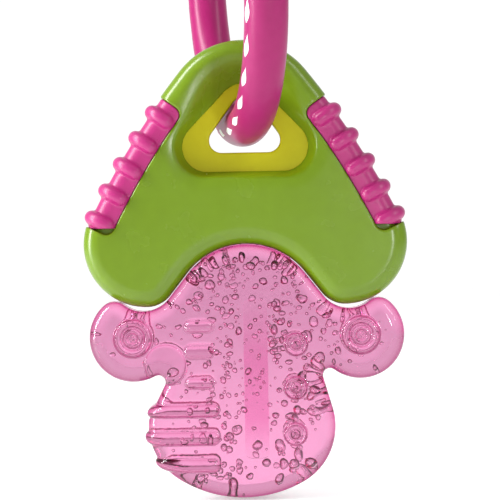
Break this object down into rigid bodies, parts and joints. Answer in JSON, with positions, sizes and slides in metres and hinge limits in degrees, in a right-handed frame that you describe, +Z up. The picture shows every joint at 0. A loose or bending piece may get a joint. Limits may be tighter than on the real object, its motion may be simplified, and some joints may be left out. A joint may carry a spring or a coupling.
{
  "type": "teething ring",
  "caption": "Round grasping ring carrying a key-shaped teether: triangular handle with an eyelet, two ribbed grips and a soft gel-filled bit with nubs and ridges.",
  "frame": {"origin": "inside top of the ring, where a finger, a hook or a strap holds it", "axes": "+Z up along the hanging teether, +X to the right across the key, -Y towards the key's front face"},
  "size_m": [0.066, 0.0671, 0.1398],
  "materials": {
    "ring": "glossy magenta-pink moulded plastic with small pale printed marks",
    "handle": "glossy lime-green moulded plastic",
    "eyelet_frame": "satin yellow plastic",
    "grip": "satin pink thermoplastic rubber",
    "bit_shell": "clear glossy pink soft plastic shell",
    "gel": "clear pink gel",
    "plug": "plain soft plastic"
  },
  "bodies": {
    "ring": {"ring_main": "ring", "ring_closure": "ring"},
    "key": {"handle_front": "handle", "handle_back": "handle", "eyelet_frame": "eyelet_frame", "left_grip": "grip", "right_grip": "grip", "bit_front_shell": "bit_shell", "bit_back_shell": "bit_shell", "gel_fill": "gel", "fill_plug": "plug"}
  },
  "joints": [
    {"name": "key_round_ring", "type": "hinge", "parent": "ring", "child": "key", "pos_m": [0.00154, 0.00032, -0.02575], "axis": [0.9774, 0.2024, 0.061], "continuous": true}
  ]
}
